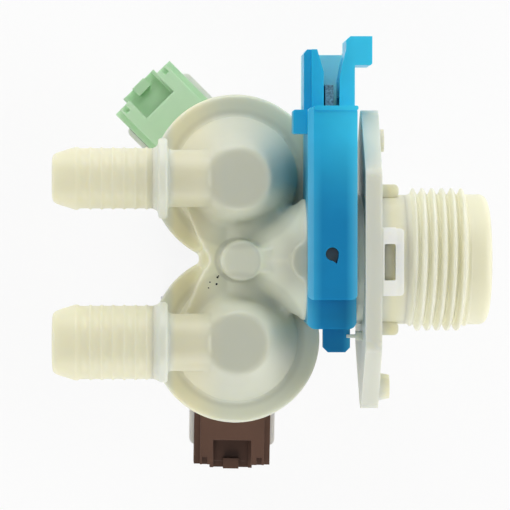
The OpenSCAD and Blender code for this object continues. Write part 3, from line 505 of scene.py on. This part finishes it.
def cut_copy(node, lo, hi):
    """The part of a CAD node's solid inside a box, as a new mesh object."""
    src = frame["nodes"][node]
    obj = bpy.data.objects.new("cut", src.data.copy())
    bpy.context.scene.collection.objects.link(obj)
    bm = bmesh.new()
    bm.from_mesh(obj.data)
    bmesh.ops.remove_doubles(bm, verts=bm.verts, dist=1e-6)
    for axis in range(3):
        for value, sign in ((lo[axis], -1), (hi[axis], 1)):
            co = [0, 0, 0]
            no = [0, 0, 0]
            co[axis] = value
            no[axis] = sign
            geom = list(bm.verts) + list(bm.edges) + list(bm.faces)
            cut = bmesh.ops.bisect_plane(bm, geom=geom, plane_co=co, plane_no=no, clear_outer=True)
            edges = [g for g in cut["geom_cut"] if isinstance(g, bmesh.types.BMEdge)]
            if edges:
                bmesh.ops.triangle_fill(bm, use_beauty=True, use_dissolve=False, edges=edges)
    bm.to_mesh(obj.data)
    bm.free()
    return obj


def apply_all(obj):
    deps = bpy.context.evaluated_depsgraph_get()
    mesh = bpy.data.meshes.new_from_object(obj.evaluated_get(deps))
    obj.modifiers.clear()
    old = obj.data
    obj.data = mesh
    bpy.data.meshes.remove(old)


def flange_end():
    """Flange, lugs, loop and plain barrel with crisp moulded edges."""
    obj = cut_copy("valve_body", (NECK_CUT - 0.3 * MM, -1, -1), (THREAD_CUT, 1, 1))
    obj.name = "flange_end"
    obj.data.name = "flange_end"
    paint(obj, CREAM)
    soften(obj, 0.25 * MM, 3)
    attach(obj, "valve")
    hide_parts("valve_body")


def stretched(value, sources, targets):
    """Piecewise straight map from the sources to the targets."""
    for a, b, p, q in zip(sources, sources[1:], targets, targets[1:]):
        if a <= value <= b:
            return p + (q - p) * (value - a) / (b - a)
    return value


def body_skin():
    """The domes, web, duct, neck and flange as one moulding with soft inner corners."""
    big = 1.0
    obj = cut_copy("valve_body", (STUB_CUT, -big, -big), (NECK_CUT, big, big))
    remesh = obj.modifiers.new("voxels", "REMESH")
    remesh.mode = "VOXEL"
    remesh.voxel_size = 0.4 * MM
    remesh.use_smooth_shade = True
    apply_all(obj)
    for v in obj.data.vertices:
        if v.co.x < COLLAR_FROM[-1] and math.hypot(abs(v.co.y) - 15 * MM, v.co.z - 6.2 * MM) < 9.2 * MM:
            v.co.x = stretched(v.co.x, COLLAR_FROM, COLLAR_TO)
    group = obj.vertex_groups.new(name="soft")
    near = sensor_box[0][0]
    weights = {}
    for v in obj.data.vertices:
        w = min(1.0, max(0.12, (near - v.co.x) / (1.5 * MM)))
        if v.co.z < -6.5 * MM or v.co.x < COIL_X - 10.5 * MM:
            w = 0.12
        elif v.co.x < COIL_X - 4.4 * MM and abs(abs(v.co.y) - 15 * MM) < 7.2 * MM and v.co.z > -1 * MM:
            w = min(w, 0.3)
        weights.setdefault(round(w, 2), []).append(v.index)
    for w, ids in weights.items():
        group.add(ids, w, "REPLACE")
    smooth = obj.modifiers.new("smooth", "SMOOTH")
    smooth.factor = 0.5
    smooth.iterations = 9
    smooth.vertex_group = "soft"
    thin = obj.modifiers.new("thin", "DECIMATE")
    thin.ratio = 0.5
    apply_all(obj)
    for poly in obj.data.polygons:
        poly.use_smooth = True
    obj.name = "moulded_body"
    obj.data.name = "moulded_body"
    paint(obj, CREAM)
    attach(obj, "valve")
    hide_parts("valve_body")
    return obj


def tab_catch():
    """Small moulded finger from the flange that reaches over the lower tab of the housing."""
    lo, hi = sensor_box
    y = lo.y + 3.0 * MM
    root = -19.0 * MM
    top, base, clear_of_tab = 5.2 * MM, 1.0 * MM, 4.5 * MM
    # along the finger, half its width, and how deep it reaches
    side = [(0, 0.75, base), (1.7, 0.75, base), (1.95, 0.34, clear_of_tab), (3.6, 0.3, clear_of_tab)]
    bm = bmesh.new()
    ring = [(root - x * MM, y + w * MM, z) for x, w, z in side] + [(root - x * MM, y - w * MM, z) for x, w, z in reversed(side)]
    low = [bm.verts.new(p) for p in ring]
    high = [bm.verts.new((p[0], p[1], top)) for p in ring]
    for i in range(len(side) - 1):
        j = len(ring) - 1 - i
        bm.faces.new((low[i], low[i + 1], low[j - 1], low[j]))
        bm.faces.new((high[i + 1], high[i], high[j], high[j - 1]))
    for i in range(len(ring)):
        j = (i + 1) % len(ring)
        bm.faces.new((low[j], low[i], high[i], high[j]))
    bmesh.ops.recalc_face_normals(bm, faces=bm.faces)
    mesh = bpy.data.meshes.new("tab_catch")
    bm.to_mesh(mesh)
    bm.free()
    obj = link("tab_catch", mesh, CREAM)
    soften(obj, 0.12 * MM)


def plunger_spring(node):
    """Round wire swept along its coil, with flatter end turns."""
    lo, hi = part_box(node)
    wire, turns, per_turn, sides = 0.25 * MM, 7, 36, 12
    cx, cy = (lo.x + hi.x) / 2, (lo.y + hi.y) / 2
    coil_r = (hi.x - lo.x) / 2 - wire
    rise = hi.z - lo.z - 2 * wire
    steps = turns * per_turn
    bm = bmesh.new()
    rings = []
    for i in range(steps + 1):
        t = i / steps
        a = 2 * math.pi * i / per_turn
        z = lo.z + wire + rise * (t - 0.5 * math.sin(2 * math.pi * t) / (2 * math.pi))
        ring = []
        for k in range(sides):
            b = 2 * math.pi * k / sides
            r = coil_r + wire * math.cos(b)
            ring.append(bm.verts.new((cx + r * math.cos(a), cy + r * math.sin(a), z + wire * math.sin(b))))
        rings.append(ring)
    for p, q in zip(rings, rings[1:]):
        for k in range(sides):
            j = (k + 1) % sides
            bm.faces.new((p[k], p[j], q[j], q[k])).smooth = True
    bm.faces.new(rings[0])
    bm.faces.new(list(reversed(rings[-1])))
    bmesh.ops.recalc_face_normals(bm, faces=bm.faces)
    mesh = bpy.data.meshes.new(node + "_coil")
    bm.to_mesh(mesh)
    bm.free()
    return link(node + "_coil", mesh, STEEL)


def press_springs():
    """Each spring listed as deforming is drawn as a swept wire coil in place of its CAD part."""
    for joint in frame["record"]["behaviour"]["joints"]:
        for soft in joint.get("deforming_nodes", []):
            node, fixed = soft["node"], soft["fixed_end_z_m"]
            if not node.endswith("spring"):
                continue
            obj = plunger_spring(node)
            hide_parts(node)
            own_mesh(obj)


def hose_tail(name, y, z, r):
    """Smooth length, small ridges and the barbed nose, with the bore."""
    x0 = TAIL_END
    x1 = COIL_X - 13.9 * MM
    m = MM
    barb = x0 + 4.2 * m
    pts = [(x0, r - 2.1 * m), (x0, r - 1.75 * m)]
    pts += [(x0 + 0.1 * m, r - 1.42 * m), (x0 + 0.32 * m, r - 1.15 * m), (x0 + 0.7 * m, r - 0.9 * m),
            (x0 + 1.3 * m, r - 0.66 * m)]
    pts += [(barb - 0.05 * m, r + 0.23 * m), (barb + 0.08 * m, r + 0.25 * m), (barb + 0.45 * m, r + 0.24 * m),
            (barb + 0.8 * m, r)]
    first = barb + 2.4 * m
    for i in range(6):
        c = first + i * 2.05 * m
        pts += [(c - 0.02 * m, r), (c + 0.3 * m, r + 0.2 * m), (c + 0.4 * m, r + 0.2 * m), (c + 0.75 * m, r + 0.01 * m)]
    pts += [(x1, r), (x1, r - 1.7 * m)]
    obj = lathe(name, pts, 96, Matrix.Translation((0, y, z)), CREAM)
    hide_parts("valve_body")
    return obj


def inlet_end():
    """Plain end, helical thread and the run into the barrel, with the bore behind it."""
    m = MM
    crest, root, pitch, length = 13.22 * m, 12.06 * m, 1.814 * m, 10.884 * m
    sides = 240
    steps = 120
    x0 = THREAD_CUT - 0.5 * m
    flank = 0.333
    land = 0.1667
    inner = [(3.7 * m, 9.8 * m), (-3 * m, 9.8 * m), (-3 * m, 9.5 * m), (-10.4 * m, 9.5 * m), (-10.4 * m, 9 * m),
             (x0, 9 * m)]
    mouth = arc(2.1 * m, root - 1.6 * m, 1.6 * m, 90, 0, 8)
    bm = bmesh.new()
    cols = []
    for i in range(sides):
        turn = i / sides
        a = 2 * math.pi * turn
        pts = [(x0, 11.96 * m), (-length - 0.3 * m, 11.96 * m)]
        for k in range(steps + 1):
            x = -length - 0.2 * m + (length + 0.2 * m) * k / steps
            phase = (x / pitch + turn + PHASE) % 1.0
            edge = abs(phase - 0.5)
            h = min(1.0, max(0.0, (land / 2 + flank - edge) / flank))
            h = h * h * (3 - 2 * h) if 0 < h < 1 and (h < 0.18 or h > 0.82) else h
            ends = min(1.0, max(0.0, (x + length + 0.1 * m) / (0.9 * m)), max(0.0, (-x - 0.05 * m) / (0.9 * m)))
            pts.append((x, root + (crest - root) * h * ends))
        pts += mouth + inner
        cols.append([bm.verts.new((x, r * math.cos(a), r * math.sin(a))) for x, r in pts])
    n = len(cols[0])
    for i in range(sides):
        p, q = cols[i], cols[(i + 1) % sides]
        for k in range(n):
            j = (k + 1) % n
            f = bm.faces.new((p[k], q[k], q[j], p[j]))
            f.smooth = True
    bmesh.ops.recalc_face_normals(bm, faces=bm.faces)
    mesh = bpy.data.meshes.new("inlet_thread")
    bm.to_mesh(mesh)
    bm.free()
    obj = link("inlet_thread", mesh, THREAD_CREAM)
    auto = obj.modifiers.new("edges", "EDGE_SPLIT")
    auto.split_angle = math.radians(50)
    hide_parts("valve_body")


TAIL_END = -76.484 * MM
STUB_CUT = COIL_X - 15.9 * MM
COLLAR_FROM = [COIL_X + x * MM for x in (-15.9, -15.1, -12.2, -10.5)]
COLLAR_TO = [COIL_X + x * MM for x in (-15.9, -14.5, -12.55, -10.5)]
THREAD_CUT = -11.4 * MM
PHASE = 0.053
sensor_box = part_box("sensor_housing")
NECK_CUT = sensor_box[1].x - 3.6 * MM
body_skin()
flange_end()
tab_catch()
press_springs()
hose_tail("upper_hose_tail", 15 * MM, 6.2 * MM, 5.5 * MM)
hose_tail("lower_hose_tail", -15 * MM, 6.2 * MM, 6.7 * MM)
inlet_end()


# ---- stage, light and camera ----

def stage_floor():
    mesh = bpy.data.meshes.new("floor")
    z = cad_box[0][2] - 0.00002
    s = 0.8
    mesh.from_pydata([(-s, -s, z), (s, -s, z), (s, s, z), (-s, s, z)], [], [(0, 1, 2, 3)])
    obj = bpy.data.objects.new("floor", mesh)
    bpy.context.scene.collection.objects.link(obj)
    m = bpy.data.materials.new("floor_paper")
    m.use_nodes = True
    nt = m.node_tree
    nt.nodes.clear()
    out = nt.nodes.new("ShaderNodeOutputMaterial")
    diffuse = nt.nodes.new("ShaderNodeBsdfDiffuse")
    diffuse.inputs["Color"].default_value = (0.9, 0.9, 0.9, 1)
    glow = nt.nodes.new("ShaderNodeEmission")
    glow.inputs["Color"].default_value = (1, 1, 1, 1)
    glow.inputs["Strength"].default_value = 1.0
    mix = nt.nodes.new("ShaderNodeMixShader")
    path = nt.nodes.new("ShaderNodeLightPath")
    scale = nt.nodes.new("ShaderNodeMath")
    scale.operation = "MULTIPLY"
    scale.inputs[1].default_value = 0.85
    seen = combine(nt, "MAXIMUM", path.outputs["Is Camera Ray"], path.outputs["Is Glossy Ray"])
    nt.links.new(combine(nt, "MAXIMUM", seen, path.outputs["Is Transmission Ray"]), scale.inputs[0])
    nt.links.new(scale.outputs["Value"], mix.inputs["Fac"])
    nt.links.new(diffuse.outputs["BSDF"], mix.inputs[1])
    nt.links.new(glow.outputs["Emission"], mix.inputs[2])
    nt.links.new(mix.outputs["Shader"], out.inputs["Surface"])
    mesh.materials.append(m)


def world():
    w = bpy.data.worlds.new("studio")
    bpy.context.scene.world = w
    w.use_nodes = True
    nt = w.node_tree
    bg = nt.nodes["Background"]
    bg.inputs["Color"].default_value = (1, 1, 1, 1)
    path = nt.nodes.new("ShaderNodeLightPath")
    mr = nt.nodes.new("ShaderNodeMapRange")
    mr.inputs["To Min"].default_value = 0.3
    mr.inputs["To Max"].default_value = 1.0
    nt.links.new(path.outputs["Is Camera Ray"], mr.inputs["Value"])
    nt.links.new(mr.outputs["Result"], bg.inputs["Strength"])


def area_light(name, place, target, size, power):
    data = bpy.data.lights.new(name, "AREA")
    data.shape = "SQUARE"
    data.size = size
    data.energy = power
    obj = bpy.data.objects.new(name, data)
    bpy.context.scene.collection.objects.link(obj)
    obj.location = place
    obj.visible_camera = False
    obj.rotation_euler = (Vector(target) - Vector(place)).to_track_quat("-Z", "Y").to_euler()


# The photograph looks down on the domes from about 0.557 m, a little from the upper left
AIM = Vector((-39.24 * MM, 0.83 * MM, 0))
EYE = Vector((-58 * MM, 13 * MM, 0.557))
FRAME_W = 510 / 5.4 * MM


def camera():
    data = bpy.data.cameras.new("camera")
    data.sensor_width = 36
    data.sensor_fit = "HORIZONTAL"
    data.lens = 36 * (EYE - AIM).length / FRAME_W
    data.clip_start = 0.01
    obj = bpy.data.objects.new("camera", data)
    bpy.context.scene.collection.objects.link(obj)
    forward = (AIM - EYE).normalized()
    up = Vector((0, 1, 0))
    right = forward.cross(up).normalized()
    up = right.cross(forward)
    rot = Matrix((right, up, -forward)).transposed()
    obj.matrix_world = Matrix.Translation(EYE) @ rot.to_4x4()
    bpy.context.scene.camera = obj


bpy.context.scene.view_settings.view_transform = "Standard"
stage_floor()
world()
centre = (-0.04, 0, 0)
LIGHT_LEVEL = {"west": (180, 16, 1.1), "south": (262, 14, 1.9), "north": (98, 14, 2.2), "east": (0, 14, 2.3)}
for name, (azimuth, elevation, power) in LIGHT_LEVEL.items():
    az, el = math.radians(azimuth), math.radians(elevation)
    place = Vector((-0.04 + 0.6 * math.cos(az) * math.cos(el), 0.6 * math.sin(az) * math.cos(el), 0.6 * math.sin(el) + 0.06))
    area_light("light_" + name, place, centre, 0.45, power)
camera()
